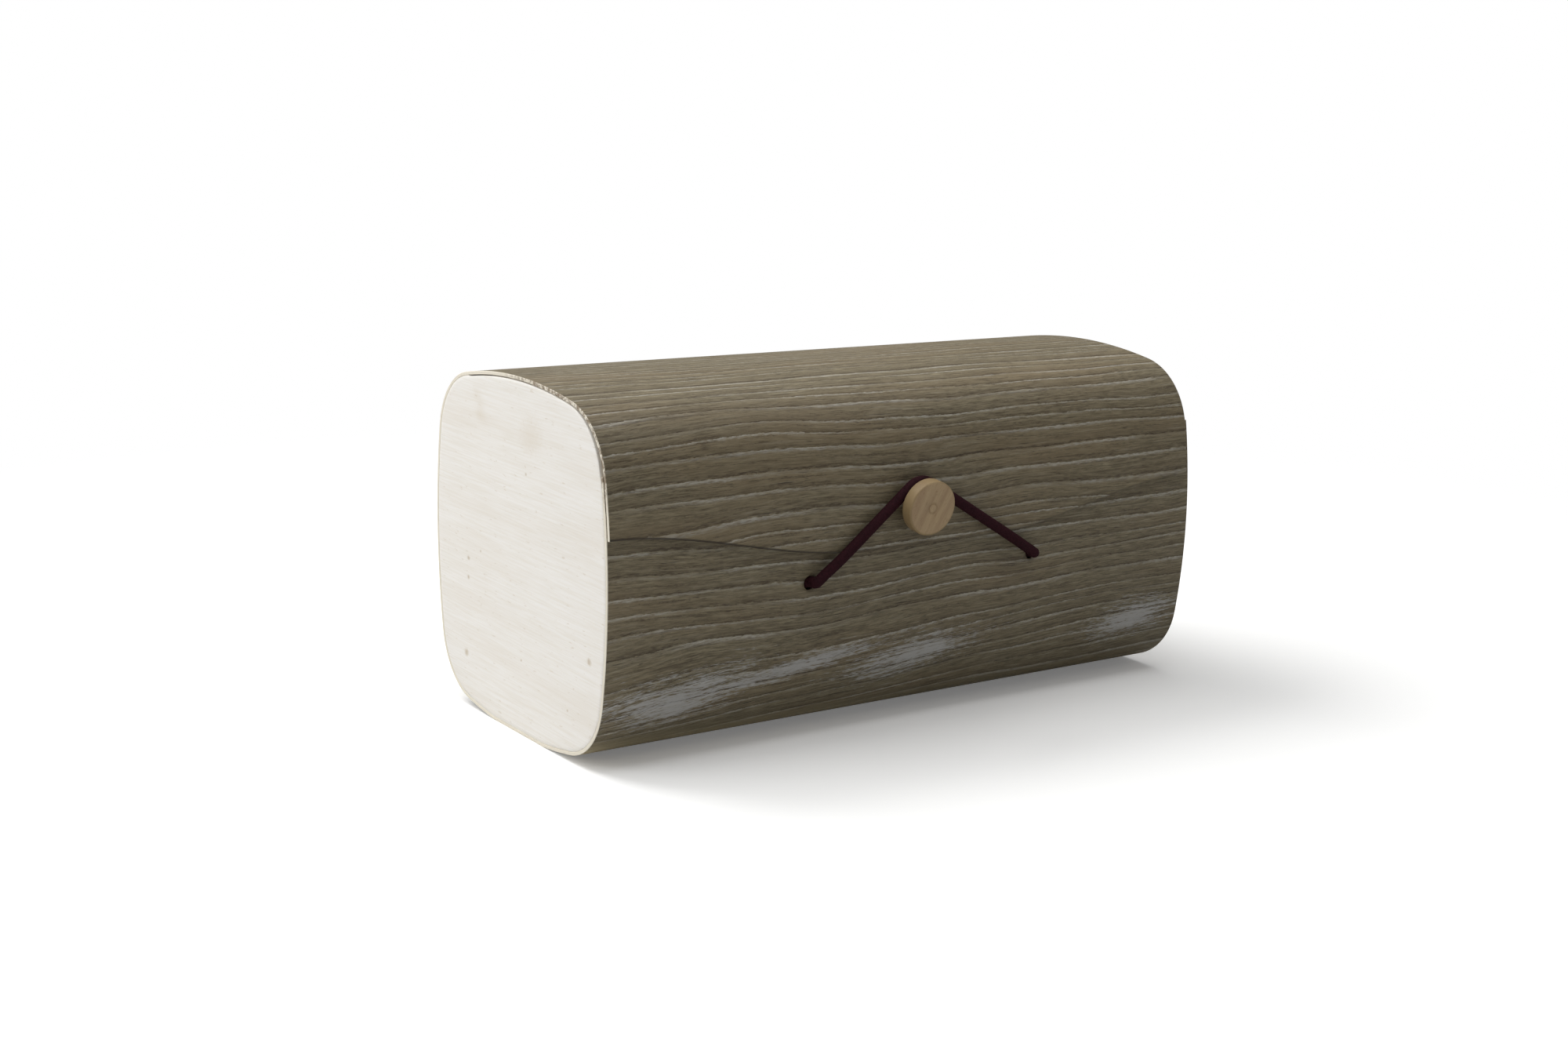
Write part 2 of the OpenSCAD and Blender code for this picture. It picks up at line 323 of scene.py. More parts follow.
def with_run(parts):
    """The parts of a path as one table, with the length run so far in its first column."""
    rows = np.vstack([parts[0]] + [p[1:] for p in parts[1:]])
    run = np.r_[0, np.cumsum(np.linalg.norm(np.diff(rows[:, :2], axis=0), axis=1))]
    return np.column_stack([run, rows])


front_base = meet(front_c, side_r - corner_r, base_c, side_r - corner_r, 1)
back_base = meet(back_c, side_r - corner_r, base_c, side_r - corner_r, -1)
back_top = meet(back_c, side_r - corner_r, top_c, side_r - corner_r, 1)
flap_corner = meet(front_c, flap_front_r - flap_corner_r, top_c, side_r - flap_corner_r, -1)
quarter, half, turn = math.pi / 2, math.pi, 2 * math.pi
wall_top = half - math.asin((front_wall_z - front_c[1]) / side_r)
base_edge = math.asin(base_half / side_r)
top_at = [math.acos(y / side_r) for y in bend_ys]
lift_at = math.acos((bend_ys[0] - back_top[0]) / corner_r)
around = with_run([
    arc(front_c, side_r, wall_top, heading(front_c, front_base)),
    arc(front_base, corner_r, heading(front_c, front_base), heading(base_c, front_base)),
    arc(base_c, side_r, heading(base_c, front_base), 3 * quarter - base_edge),
    np.array([[-base_half, 0, 0, -1], [base_half, 0, 0, -1]]),
    arc(base_c, side_r, 3 * quarter + base_edge, heading(base_c, back_base)),
    arc(back_base, corner_r, heading(base_c, back_base), heading(back_c, back_base)),
    arc(back_c, side_r, heading(back_c, back_base) - turn, heading(back_c, back_top)),
    arc(back_top, corner_r, heading(back_c, back_top), lift_at),
])
bends = [
    with_run([arc(back_top, corner_r, lift_at, heading(top_c, back_top), 0.0007),
              arc(top_c, side_r, heading(top_c, back_top), top_at[1], 0.0007)]),
    with_run([arc(top_c, side_r, top_at[1], top_at[2], 0.0007)]),
    with_run([arc(top_c, side_r, top_at[2], top_at[3], 0.0007)]),
]
over = with_run([
    arc(top_c, side_r, top_at[3], heading(top_c, flap_corner)),
    arc(flap_corner, flap_corner_r, heading(top_c, flap_corner), heading(front_c, flap_corner)),
    arc(front_c, flap_front_r, heading(front_c, flap_corner), half + 0.06),
])
flap_end_z, tongue_z, tongue_flat = 0.064, 0.0532, 0.044


def flap_edge(x):
    """Height of the flap's lower edge: level in the middle, half a cosine wave up to each end."""
    t = np.clip((np.abs(x) - tongue_flat / 2) / ((box_length - tongue_flat) / 2), 0, 1)
    return tongue_z + (flap_end_z - tongue_z) * (1 - np.cos(math.pi * t)) / 2


def sheet_profile(columns=104):
    """Closed outline across the sheet as x and depth, with its two side edges eased."""
    x = np.linspace(-box_length / 2 + ease, box_length / 2 - ease, columns)
    side = box_length / 2
    px = np.r_[x, side, side, x[::-1], -side, -side]
    pn = np.r_[np.zeros(columns), -ease, ease - sheet_t, np.full(columns, -sheet_t), ease - sheet_t, -ease]
    return px, pn, columns


def bent_sheet(name, path, stain_from, free_start=False, free_end=False, end_z=None, trimmed=True):
    """The sheet carried along a path of the section. Its outline is swept, closed at both ends, and
    eased where an end is free. Where end_z is given, the sheet ends at that height for each x. The
    right edge of the free top runs in towards the front, where the sheet was trimmed askew."""
    px, pn, columns = sheet_profile()
    run = path[:, 0]
    share = run / run[-1]
    squeeze = np.zeros(len(share))
    if free_start:
        share = np.r_[0, ease / run[-1], share[1:]]
        squeeze = np.r_[ease, np.zeros(len(share) - 1)]
    if free_end:
        share = np.r_[share[:-1], 1 - ease / run[-1], 1]
        squeeze = np.r_[squeeze, ease]
    length = np.full(len(px), run[-1])
    if end_z is not None:
        length = np.interp(-end_z(px), -path[:, 2], run)
    s = share[:, None] * length[None, :]
    at = [np.interp(s, run, path[:, k]) for k in range(1, 5)]
    depth = np.clip(pn[None, :], squeeze[:, None] - sheet_t, -squeeze[:, None])
    y, z = at[0] + depth * at[2], at[1] + depth * at[3]
    x = np.broadcast_to(px, s.shape)
    if trimmed:
        run_in = edge_run_in * np.clip((free_y - y) / (free_y + front_reach), 0, 1)
        x = x - run_in * np.clip((x + 0.06) / (box_length / 2 + 0.06), 0, 1)
    points = np.stack([x, y, z], axis=-1)
    rows, n = s.shape
    faces = grid_faces(rows, n)
    raw = (pn[faces % n] < 0).any(axis=1)
    caps = []
    for base in (0, (rows - 1) * n):
        outer = base + np.arange(columns)
        inner = base + 2 * columns + 1 - np.arange(columns)
        cap = np.stack([outer[:-1], outer[1:], inner[1:], inner[:-1]], axis=1)
        sides = [[outer[-1], base + columns, base + columns + 1, inner[-1]],
                 [outer[0], inner[0], base + 2 * columns + 2, base + 2 * columns + 3]]
        caps.append(np.vstack([cap, sides])[:, :: 1 if base else -1])
    faces = np.vstack([faces] + caps)
    raw = np.r_[raw, np.ones(len(caps[0]), bool), np.full(len(caps[1]), end_z is None)]
    piece = make_piece(name, points, faces, [stained_veneer, raw_veneer], math.radians(30))
    mesh = piece.data
    mesh.polygons.foreach_set("material_index", raw.astype(np.int32))
    corner = np.empty(len(mesh.loops), np.int32)
    mesh.loops.foreach_get("vertex_index", corner)
    uv = np.column_stack([points[..., 0].ravel(), (stain_from + s).ravel()])[corner]
    mesh.uv_layers.new(name="sheet").data.foreach_set("uv", uv.ravel())
    to_edge = np.where(end_z is None, 1.0, (length[None, :] - s).ravel())
    uv = np.column_stack([to_edge, np.zeros(len(to_edge))])[corner]
    mesh.uv_layers.new(name="edge").data.foreach_set("uv", uv.ravel())
    return piece


# The stain: growth lines along the sheet, each a thin limed crest with a dark line on its upper side,
# over short fibres and pores. The lines run level on top and climb to the right low on the front.
stained_veneer, tree, shader = new_material("stained_veneer", 0.6)
metres = add(tree, "ShaderNodeUVMap", uv_map="sheet").outputs[0]
mm = stretched(tree, metres, (1000, 1000, 1000))
along, down = add(tree, "ShaderNodeSeparateXYZ", {0: mm}).outputs[:2]
climb = step_between(tree, down, 28, 66, 0.01, 0.06)
climb = calc(tree, "MULTIPLY", climb, step_between(tree, down, 120, 220, 1, 0.1))
sway = noise(tree, stretched(tree, mm, (0.009, 0.02, 1)), 1, 1)
wander = noise(tree, stretched(tree, mm, (0.022, 0.08, 1)), 1, 1)
ragged = noise(tree, stretched(tree, mm, (0.35, 1.3, 1)), 1, 5, 0.75)
ring_at = calc(tree, "MULTIPLY_ADD", along, climb, down)
ring_at = calc(tree, "MULTIPLY_ADD", sway, 10.0, ring_at)
ring_at = calc(tree, "MULTIPLY_ADD", wander, 3.0, ring_at)
line_at = calc(tree, "MULTIPLY_ADD", ragged, 1.5, ring_at)
spacing = calc(tree, "MULTIPLY", line_at, 0.06)
spacing = add(tree, "ShaderNodeTexNoise", {"W": spacing, "Scale": 1.0, "Detail": 1.0}, noise_dimensions="1D")
rings = calc(tree, "MULTIPLY_ADD", spacing.outputs["Fac"], 2.6, calc(tree, "MULTIPLY", line_at, 0.225))
closer = calc(tree, "MINIMUM", calc(tree, "MAXIMUM", calc(tree, "SUBTRACT", line_at, 240), 0.0), 70.0)
rings = calc(tree, "MULTIPLY_ADD", closer, 0.09, rings)
saw = calc(tree, "FRACT", rings)
grain_space = add(tree, "ShaderNodeCombineXYZ", {0: along, 1: ring_at}).outputs[0]
strength = noise(tree, stretched(tree, grain_space, (0.022, 0.16, 1)), 1, 2)
fibre = noise(tree, stretched(tree, grain_space, (0.16, 2.2, 1)), 1, 5, 0.75)
streak = noise(tree, stretched(tree, grain_space, (0.045, 1.0, 1)), 1, 5, 0.74)
silver = noise(tree, stretched(tree, grain_space, (0.4, 4.0, 1)), 1, 3, 0.6)
crest = calc(tree, "MULTIPLY", step_between(tree, saw, 0.0, 0.04), step_between(tree, saw, 0.05, 0.24, 1, 0))
crest = calc(tree, "MULTIPLY", crest, step_between(tree, strength, 0.36, 0.62, 0.12, 1))
lime = calc(tree, "MULTIPLY", crest, step_between(tree, silver, 0.34, 0.62, 0.2, 1))
shade = step_between(tree, saw, 0.25, 1.0)
furrow = calc(tree, "MULTIPLY", step_between(tree, saw, 0.84, 0.96), step_between(tree, silver, 0.62, 0.36))
furrow = calc(tree, "MULTIPLY", furrow, step_between(tree, strength, 0.38, 0.66, 1, 0.6))
between = calc(tree, "FRACT", calc(tree, "MULTIPLY_ADD", rings, 2.37, calc(tree, "MULTIPLY", ragged, 0.7)))
thread = calc(tree, "MULTIPLY", step_between(tree, between, 0.0, 0.06), step_between(tree, between, 0.08, 0.3, 1, 0))
thread = calc(tree, "MULTIPLY", thread, step_between(tree, streak, 0.56, 0.42))
pore = noise(tree, stretched(tree, grain_space, (0.3, 4.2, 1)), 1, 1)
pore_here = noise(tree, stretched(tree, grain_space, (0.03, 0.22, 1)), 1, 2)
pores = calc(tree, "MULTIPLY", step_between(tree, pore, 0.61, 0.68), step_between(tree, pore_here, 0.4, 0.6))
crack = noise(tree, stretched(tree, grain_space, (0.05, 1.5, 1)), 1, 2)
cracks = calc(tree, "MULTIPLY", step_between(tree, crack, 0.69, 0.73), step_between(tree, pore, 0.3, 0.5))
tone = noise(tree, stretched(tree, grain_space, (0.01, 0.06, 1)), 1, 3)
colour = blend_colours(tree, step_between(tree, fibre, 0.33, 0.68), linear(102, 92, 70), linear(156, 145, 118))
colour = blend_colours(tree, step_between(tree, tone, 0.42, 0.7, 0, 0.55), colour, linear(142, 125, 96))
colour = blend_colours(tree, calc(tree, "MULTIPLY", shade, 0.34), colour, linear(92, 78, 56))
colour = blend_colours(tree, step_between(tree, streak, 0.53, 0.72, 0, 0.36), colour, linear(180, 173, 155))
colour = blend_colours(tree, step_between(tree, streak, 0.3, 0.48, 0.6, 0), colour, linear(80, 68, 50))
colour = blend_colours(tree, calc(tree, "MULTIPLY", thread, 0.62), colour, linear(76, 63, 45))
colour = blend_colours(tree, calc(tree, "MULTIPLY", furrow, 0.88), colour, linear(62, 50, 35))
colour = blend_colours(tree, calc(tree, "MULTIPLY", pores, 0.6), colour, linear(58, 47, 34))
colour = blend_colours(tree, calc(tree, "MULTIPLY", cracks, 0.75), colour, linear(44, 35, 25))
colour = blend_colours(tree, calc(tree, "MULTIPLY", lime, 0.78), colour, linear(204, 200, 190))
# Where the brush left more lime, low on the front wall: middle and half sizes in mm along and down
near = 2.0
for x, low, half_x, half_low in ((-80, 62, 34, 9.5), (-42, 58, 46, 3.6), (-2, 60, 32, 7), (84, 60, 26, 8)):
    across = calc(tree, "MULTIPLY_ADD", calc(tree, "SUBTRACT", along, x), 0.13, calc(tree, "SUBTRACT", down, low))
    across = calc(tree, "MULTIPLY", across, 1 / half_low)
    away = calc(tree, "MULTIPLY", calc(tree, "SUBTRACT", along, x), 1 / half_x)
    away = calc(tree, "SQRT", calc(tree, "MULTIPLY_ADD", away, away, calc(tree, "MULTIPLY", across, across)))
    near = calc(tree, "MINIMUM", near, away)
worn = calc(tree, "MULTIPLY_ADD", near, -0.36, calc(tree, "MULTIPLY_ADD", silver, 0.8, streak))
worn = step_between(tree, worn, 0.62, 0.85)
colour = blend_colours(tree, calc(tree, "MULTIPLY", worn, 0.78), colour, linear(198, 198, 197))
# The flap's wavy edge gets a painted shadow, a thin dark line along it, most at the left; low on the front a band gets
# painted light, paler where light bounces up from the floor, most at the left
edge = add(tree, "ShaderNodeUVMap", uv_map="edge").outputs[0]
edge = add(tree, "ShaderNodeSeparateXYZ", {0: stretched(tree, edge, (1000, 1000, 1000))}).outputs[0]
# Painted shadow: a thin dark line along the flap's lower edge, strongest at the left
painted_edge_shadow = calc(tree, "MULTIPLY", step_between(tree, edge, 0.75, 0.25), step_between(tree, along, 0, -50, 0.35, 0.85))
colour = blend_colours(tree, painted_edge_shadow, colour, linear(46, 37, 27))
# Painted light: a paler band low on the front, where light bounces up from the floor, strongest at the left
foot = calc(tree, "MULTIPLY", step_between(tree, down, 72, 80), step_between(tree, along, 40, -60, 0.25, 0.85))
colour = blend_colours(tree, calc(tree, "MULTIPLY", foot, step_between(tree, down, 98, 90)), colour, linear(192, 178, 144))
tree.links.new(colour, shader.inputs["Base Color"])
relief = calc(tree, "MULTIPLY_ADD", fibre, 0.5, calc(tree, "MULTIPLY", crest, 0.25))
relief = calc(tree, "SUBTRACT", relief, calc(tree, "MAXIMUM", pores, cracks))
relief = calc(tree, "MULTIPLY_ADD", furrow, -0.4, relief)
tree.links.new(
    add(tree, "ShaderNodeBump", {"Height": relief, "Strength": 0.4, "Distance": 0.0001}).outputs[0],
    shader.inputs["Normal"],
)
tree.links.new(step_between(tree, fibre, 0.2, 0.8, 0.66, 0.5), shader.inputs["Roughness"])

# The raw side and the cut edges, with the brown scorch where the flap's end was trimmed
raw_veneer, tree, shader = new_material("raw_veneer", 0.7)
where = add(tree, "ShaderNodeTexCoord").outputs["Object"]
lines = noise(tree, stretched(tree, where, (60, 900, 900)), 1, 4, 0.6)
spots = noise(tree, stretched(tree, where, (500, 700, 700)), 1, 3, 0.7)
x, y, z = add(tree, "ShaderNodeSeparateXYZ", {0: where}).outputs
trimmed = calc(tree, "MULTIPLY", step_between(tree, z, 0.07, 0.08), step_between(tree, y, 0.012, -0.012))
trimmed = calc(tree, "MULTIPLY", trimmed, step_between(tree, x, -0.1005, -0.1018))
trimmed = calc(tree, "MULTIPLY", trimmed, step_between(tree, spots, 0.38, 0.6))
rim = step_between(tree, x, -0.1, -0.1018)
colour = blend_colours(tree, lines, linear(196, 182, 152), linear(226, 214, 188))
colour = blend_colours(tree, calc(tree, "MULTIPLY", rim, 0.75), colour, linear(240, 234, 220))
colour = blend_colours(tree, calc(tree, "MULTIPLY", trimmed, 0.85), colour, linear(112, 90, 62))
tree.links.new(colour, shader.inputs["Base Color"])
tree.links.new(
    add(tree, "ShaderNodeBump", {"Height": lines, "Strength": 0.4, "Distance": 0.0001}).outputs[0],
    shader.inputs["Normal"],
)

wrap = bent_sheet("veneer_wrap", around, 0.0, free_start=True, trimmed=False)
hole_r, hole_sides = 0.002, 64
angle = np.linspace(0, 2 * math.pi, hole_sides, endpoint=False)
for side in (-1, 1):
    rim = np.stack([side * hole_x + hole_r * np.cos(angle), np.full(hole_sides, 0.0), hole_z + hole_r * np.sin(angle)], 1)
    ends = np.concatenate([rim + [0, wall_y - 0.003, 0], rim + [0, wall_y + 0.004, 0]])
    walls = [[k, (k + 1) % hole_sides, (k + 1) % hole_sides + hole_sides, k + hole_sides] for k in range(hole_sides)]
    walls += [list(range(hole_sides))[::-1], [hole_sides + k for k in range(hole_sides)]]
    drill = make_piece("drill", ends, walls, [raw_veneer])
    cut = wrap.modifiers.new("hole", "BOOLEAN")
    cut.operation, cut.solver, cut.object = "DIFFERENCE", "EXACT", drill
    bored = bpy.data.meshes.new_from_object(wrap.evaluated_get(bpy.context.evaluated_depsgraph_get()))
    wrap.modifiers.clear()
    wrap.data = bored
    bpy.data.objects.remove(drill)
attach(wrap, "box")
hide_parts("wrap_sheet")

run = around[-1, 0]
replaced = {0: "bend_strip_rear", 1: "bend_strip_front"}
for i, path in enumerate(bends):
    piece = bent_sheet(f"veneer_bend_{i + 1}", path, run)
    run += path[-1, 0]
    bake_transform(piece)
    if i in replaced:
        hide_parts(replaced[i])
flap = bent_sheet("veneer_flap", over, run, free_end=True, end_z=flap_edge)
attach(flap, "flap")
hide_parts("lid_flap")

# The end panels
# Two rounded squares of pale plywood, sanded, inside the ends of the sheet. Glued all round but for
# the top, where they are shaved back so that the lid lies on them freely.
panel_t, lid_gap = 0.004, 0.0003


def panel_outline():
    """The section inside the sheet, less the gap where the lid is free."""
    front_top = meet(front_c, side_r - corner_r, top_c, side_r - corner_r, -1)
    path = with_run([
        around[:, 1:],
        arc(back_top, corner_r, lift_at, heading(top_c, back_top)),
        arc(top_c, side_r, heading(top_c, back_top), heading(top_c, front_top)),
        arc(front_top, corner_r, heading(top_c, front_top), half - math.asin((front_wall_z + 0.0004 - front_top[1]) / corner_r)),
    ])[:, 1:]
    free = (path[:, 0] < free_y) & (path[:, 1] > front_wall_z)
    inset = sheet_t + np.where(free, lid_gap, 0)
    return path[:, :2] - inset[:, None] * path[:, 2:], path[:, 2:]


def panel(name, outer_x, inner_x):
    """A plate as rings of its outline: eased at both faces, then drawn in to the middle of each."""
    outline, out = panel_outline()
    soft = 0.00025
    way = np.sign(inner_x - outer_x)
    rings = [(outer_x, -0.0012, 1.0), (outer_x, -soft, 1.0), (outer_x + 0.3 * way * soft, -0.3 * soft, 1.0),
             (outer_x + way * soft, 0, 1.0), (inner_x - way * soft, 0, 1.0), (inner_x, -soft, 1.0)]
    inner_share = np.array([0.85, 0.65, 0.45, 0.25, 0.08])
    middle = np.array([0, box_height / 2])
    loops = []
    for share in inner_share[::-1]:
        loops.append((outer_x, middle + share * (outline - middle)))
    for x_at, inward, _ in rings:
        loops.append((x_at, outline + inward * out))
    for share in inner_share:
        loops.append((inner_x, middle + share * (outline - middle)))
    points = np.concatenate([np.column_stack([np.full(len(outline), x_at), p]) for x_at, p in loops])
    n = len(outline)
    faces = grid_faces(len(loops), n).tolist()
    faces += [list(range(n))[::-1], [(len(loops) - 1) * n + k for k in range(n)]]
    return make_piece(name, points, faces, [plywood], math.radians(50))


plywood, tree, shader = new_material("pale_plywood", 0.62)
where = add(tree, "ShaderNodeTexCoord").outputs["Object"]
tilted = add(tree, "ShaderNodeMapping", {"Vector": where, "Rotation": (math.radians(-1), 0, 0)}).outputs[0]
fine = noise(tree, stretched(tree, tilted, (300, 60, 2200)), 1, 4, 0.6)
broad = noise(tree, stretched(tree, tilted, (60, 9, 90)), 1, 3, 0.5)
flecks = noise(tree, stretched(tree, tilted, (900, 330, 1500)), 1, 2)
# Small knots, given as place on the plate and radius, in mm; the third is a rubbed patch
y, z = add(tree, "ShaderNodeSeparateXYZ", {0: stretched(tree, where, (1000, 1000, 1000))}).outputs[1:]
ripple = noise(tree, where, 900, 2)
pin, rubbed = 0.0, 0.0
for place_y, place_z, size in (
    (29.8, 44, 0.75), (30, 38.4, 0.7), (-9, 84.5, 6), (31.9, 15.8, 1.2), (-40.9, 30.2, 1.1),
    (22, 47.5, 0.45), (-2.5, 21.5, 0.4), (-29, 14, 0.4), (-6, 74, 0.5),
):
    dy = calc(tree, "MULTIPLY", calc(tree, "SUBTRACT", y, place_y), 0.8)
    dz = calc(tree, "SUBTRACT", z, place_z)
    off = calc(tree, "SQRT", calc(tree, "MULTIPLY_ADD", dy, dy, calc(tree, "MULTIPLY", dz, dz)))
    off = calc(tree, "MULTIPLY_ADD", ripple, size * 0.8, off)
    spot = step_between(tree, off, size * 0.5, size * 1.7, 1, 0)
    if size > 2:
        rubbed = spot
    else:
        pin = calc(tree, "MAXIMUM", pin, spot)
stain = noise(tree, stretched(tree, where, (30, 26, 42)), 1, 3)
colour = blend_colours(tree, step_between(tree, fine, 0.3, 0.75), linear(245, 242, 237), linear(237, 232, 223))
colour = blend_colours(tree, step_between(tree, broad, 0.45, 0.8, 0, 0.45), colour, linear(229, 220, 206))
colour = blend_colours(tree, calc(tree, "MULTIPLY", rubbed, 0.25), colour, linear(214, 200, 176))
colour = blend_colours(tree, step_between(tree, stain, 0.62, 0.8, 0, 0.5), colour, linear(214, 200, 176))
colour = blend_colours(tree, step_between(tree, flecks, 0.66, 0.74, 0, 0.3), colour, linear(196, 178, 150))
colour = blend_colours(tree, calc(tree, "MULTIPLY", pin, 0.6), colour, linear(184, 164, 130))
tree.links.new(colour, shader.inputs["Base Color"])
tree.links.new(
    add(tree, "ShaderNodeBump", {"Height": fine, "Strength": 0.25, "Distance": 0.00008}).outputs[0],
    shader.inputs["Normal"],
)
end_x = box_length / 2
for name, side in (("left_end_panel", -1), ("right_end_panel", 1)):
    plate = panel("plywood_" + name, side * end_x, side * (end_x - panel_t))
    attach(plate, "box")
    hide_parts(name)

# The button
# A disc of beech turned with eased edges, a neck behind it and a dowel through both and the flap.
# It faces a little down, because the elastic pulls it so.
tilt = math.radians(8)
foot_z = 0.0655
foot = Vector((neck_x, front_c[0] - math.sqrt(flap_front_r**2 - (foot_z - front_c[1]) ** 2), foot_z))
button_frame = Matrix.Translation(foot) @ Matrix.Rotation(quarter + tilt, 4, "X")
disc_r, disc_t, neck_r, neck_len, dowel_r = 0.0078, 0.0039, 0.0045, 0.004, 0.0013


def turned(name, profile, material, sides=96):
    """A body of revolution from [radius, height] points on the button's axis; both ends are closed."""
    p = np.asarray(profile, float)
    a = np.linspace(0, 2 * math.pi, sides, endpoint=False)
    points = np.stack([
        p[:, :1] * np.cos(a), p[:, :1] * np.sin(a), np.broadcast_to(p[:, 1:], (len(p), sides)),
    ], axis=-1).reshape(-1, 3)
    m = np.array(button_frame)
    points = points @ m[:3, :3].T + m[:3, 3]
    faces = grid_faces(len(p), sides, closed_rows=bool(np.allclose(p[0], p[-1])))
    faces = faces.tolist()
    faces += [list(range(sides))[::-1], [(len(p) - 1) * sides + k for k in range(sides)]]
    return make_piece(name, points, faces, [material], math.radians(50))


def eased(radius, low, high, soft, steps=6):
    """Outline of a disc's side with round edges of radius soft."""
    t = np.linspace(0, quarter, steps)
    under = np.column_stack([radius - soft + soft * np.sin(t), low + soft - soft * np.cos(t)])
    above = np.column_stack([radius - soft + soft * np.cos(t), high - soft + soft * np.sin(t)])
    return np.vstack([under, above])


beech, tree, shader = new_material("turned_beech", 0.55)
where = add(tree, "ShaderNodeTexCoord").outputs["Object"]
turned_grain = add(tree, "ShaderNodeMapping", {"Vector": where, "Rotation": (0, math.radians(-24), 0)}).outputs[0]
bands = noise(tree, stretched(tree, turned_grain, (340, 100, 50)), 1, 2)
fibres = noise(tree, stretched(tree, turned_grain, (2600, 900, 260)), 1, 4, 0.6)
rays = noise(tree, stretched(tree, turned_grain, (2400, 2400, 900)), 1, 1)
colour = blend_colours(tree, step_between(tree, bands, 0.35, 0.68), linear(192, 166, 128), linear(176, 148, 114))
colour = blend_colours(tree, step_between(tree, fibres, 0.35, 0.75, 0, 0.35), colour, linear(158, 128, 94))
colour = blend_colours(tree, step_between(tree, rays, 0.64, 0.74, 0, 0.35), colour, linear(140, 102, 66))
# The rim shows end grain, which is darker
about = Vector((neck_x, foot.y - 0.006, foot_z - 0.0009))
off = add(tree, "ShaderNodeVectorMath", {0: where, 1: about}, operation="SUBTRACT").outputs[0]
off = stretched(tree, off, (1, 0, 1))
radius = add(tree, "ShaderNodeVectorMath", {0: off}, operation="LENGTH").outputs["Value"]
colour = blend_colours(tree, step_between(tree, radius, 0.0071, 0.0076, 0, 0.6), colour, linear(140, 118, 76))
dowel_ring = calc(tree, "MULTIPLY", step_between(tree, radius, 0.0009, 0.0013), step_between(tree, radius, 0.0019, 0.0014))
colour = blend_colours(tree, calc(tree, "MULTIPLY", dowel_ring, 0.3), colour, linear(140, 108, 74))
tree.links.new(colour, shader.inputs["Base Color"])
tree.links.new(
    add(tree, "ShaderNodeBump", {"Height": fibres, "Strength": 0.3, "Distance": 0.00006}).outputs[0],
    shader.inputs["Normal"],
)
bore = dowel_r + 0.00004
disc_side = eased(disc_r, neck_len, neck_len + disc_t, 0.0005)
disc_profile = np.vstack([[[bore, neck_len]], [[disc_r * 0.6, neck_len]], disc_side,
                          [[disc_r * 0.6, neck_len + disc_t]], [[bore + 0.0001, neck_len + disc_t]],
                          [[bore, neck_len + disc_t - 0.0001]]])
disc = turned("button_disc_turned", np.vstack([disc_profile, disc_profile[:1]])[:-1], beech)
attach(disc, "flap")
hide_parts("button_disc")
neck = turned("button_neck_turned", [[0.0005, -0.0009], [neck_r, -0.0009], [neck_r, neck_len], [0.0005, neck_len]], beech)
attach(neck, "flap")
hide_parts("button_neck")
dowel_top = neck_len + disc_t - 0.00003
dowel = turned("button_dowel_cut", np.vstack([[[0.0004, -0.0007]], eased(dowel_r, -0.0007, dowel_top, 0.00008, 3),
                                          [[0.0004, dowel_top]]]), beech)
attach(dowel, "flap")
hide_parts("button_dowel")

# The floor and the light
# A pale sheet that turns white for the camera, one large soft lamp behind and to the left, and an
# even white surround.
floor_half = 6.0
floor_mesh = bpy.data.meshes.new("floor")
floor_mesh.from_pydata(
    [(-floor_half, -floor_half, 0), (floor_half, -floor_half, 0), (floor_half, floor_half, 0), (-floor_half, floor_half, 0)],
    [], [(0, 1, 2, 3)],
)
floor = bpy.data.objects.new("floor", floor_mesh)
scene.collection.objects.link(floor)
paper, tree, shader = new_material("white_paper", 0.9)
shader.inputs["Base Color"].default_value = (0.6, 0.6, 0.59, 1)
lit = add(tree, "ShaderNodeBsdfDiffuse", {"Color": (1.08, 1.08, 1.07, 1)})
lift = add(tree, "ShaderNodeEmission", {"Color": (1, 1, 1, 1), "Strength": 0.15})
seen = add(tree, "ShaderNodeAddShader", {0: lit.outputs[0], 1: lift.outputs[0]})
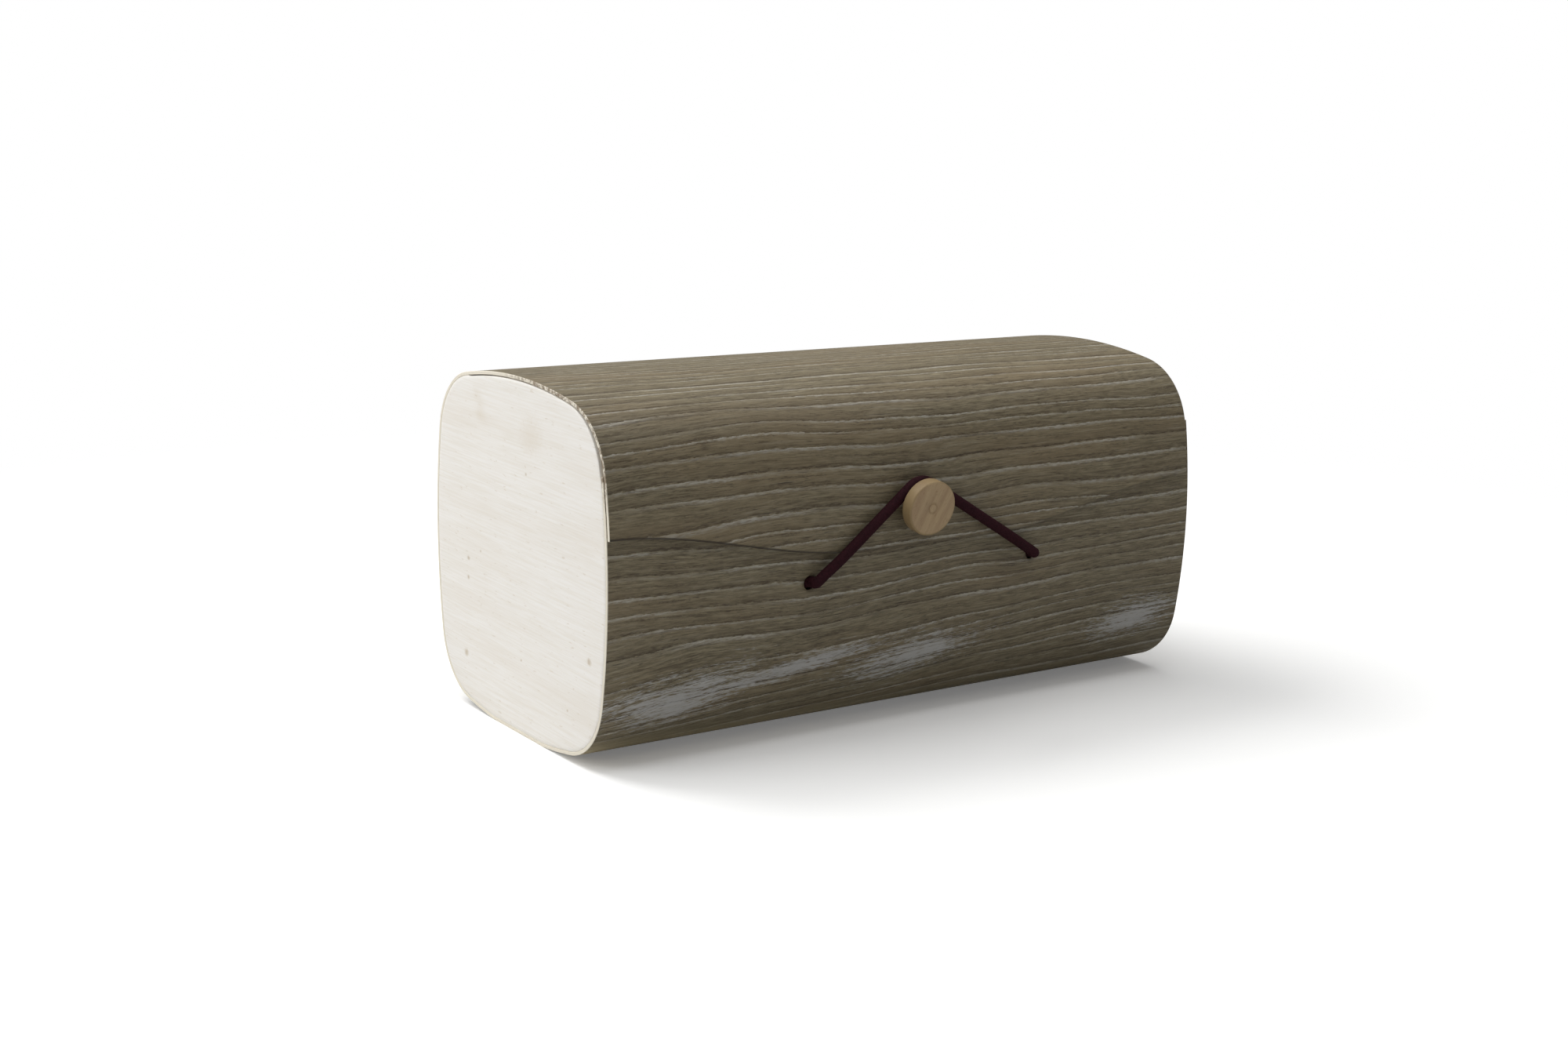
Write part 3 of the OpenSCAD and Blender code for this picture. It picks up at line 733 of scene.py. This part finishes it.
white = add(tree, "ShaderNodeEmission", {"Color": (1, 1, 1, 1), "Strength": 1.0})
where = add(tree, "ShaderNodeTexCoord").outputs["Object"]
away = add(tree, "ShaderNodeVectorMath", {0: where}, operation="LENGTH").outputs["Value"]
fade = step_between(tree, away, 0.22, 0.5)
near = add(tree, "ShaderNodeMixShader", {0: fade, 1: seen.outputs[0], 2: white.outputs[0]})
ray = add(tree, "ShaderNodeLightPath")
both = add(tree, "ShaderNodeMixShader", {0: ray.outputs["Is Camera Ray"], 1: shader.outputs[0], 2: near.outputs[0]})
tree.links.new(both.outputs[0], tree.nodes["Material Output"].inputs["Surface"])
floor_mesh.materials.append(paper)


def soft_lamp(name, place, size, watts):
    """A square lamp that looks at the middle of the box."""
    lamp = bpy.data.objects.new(name, bpy.data.lights.new(name, "AREA"))
    lamp.data.size = size
    lamp.data.energy = watts
    place = Vector(place)
    aim = (Vector((0, 0, box_height / 2)) - place).to_track_quat("-Z", "Y")
    lamp.matrix_world = Matrix.Translation(place) @ aim.to_matrix().to_4x4()
    scene.collection.objects.link(lamp)


soft_lamp("behind", (-0.5, 0.95, 1.3), 1.0, 18.0)
soft_lamp("left", (-1.4, 0.45, 0.7), 1.0, 9.3)
soft_lamp("overhead", (0, -0.15, 1.5), 1.2, 7.0)
soft_lamp("front", (-0.1, -0.75, 1.15), 1.0, 1.1)
world = bpy.data.worlds.new("surround")
scene.world = world
world.use_nodes = True
tree = world.node_tree
surround = tree.nodes["Background"]
surround.inputs["Color"].default_value = (1, 1, 1, 1)
surround.inputs["Strength"].default_value = 0.165
bright = add(tree, "ShaderNodeBackground", {"Color": (1, 1, 1, 1), "Strength": 1.0})
ray = add(tree, "ShaderNodeLightPath")
seen = add(tree, "ShaderNodeMixShader", {0: ray.outputs["Is Camera Ray"], 1: surround.outputs[0], 2: bright.outputs[0]})
tree.links.new(seen.outputs[0], tree.nodes["World Output"].inputs["Surface"])
scene.view_settings.view_transform = "Standard"

bpy.context.view_layer.update()
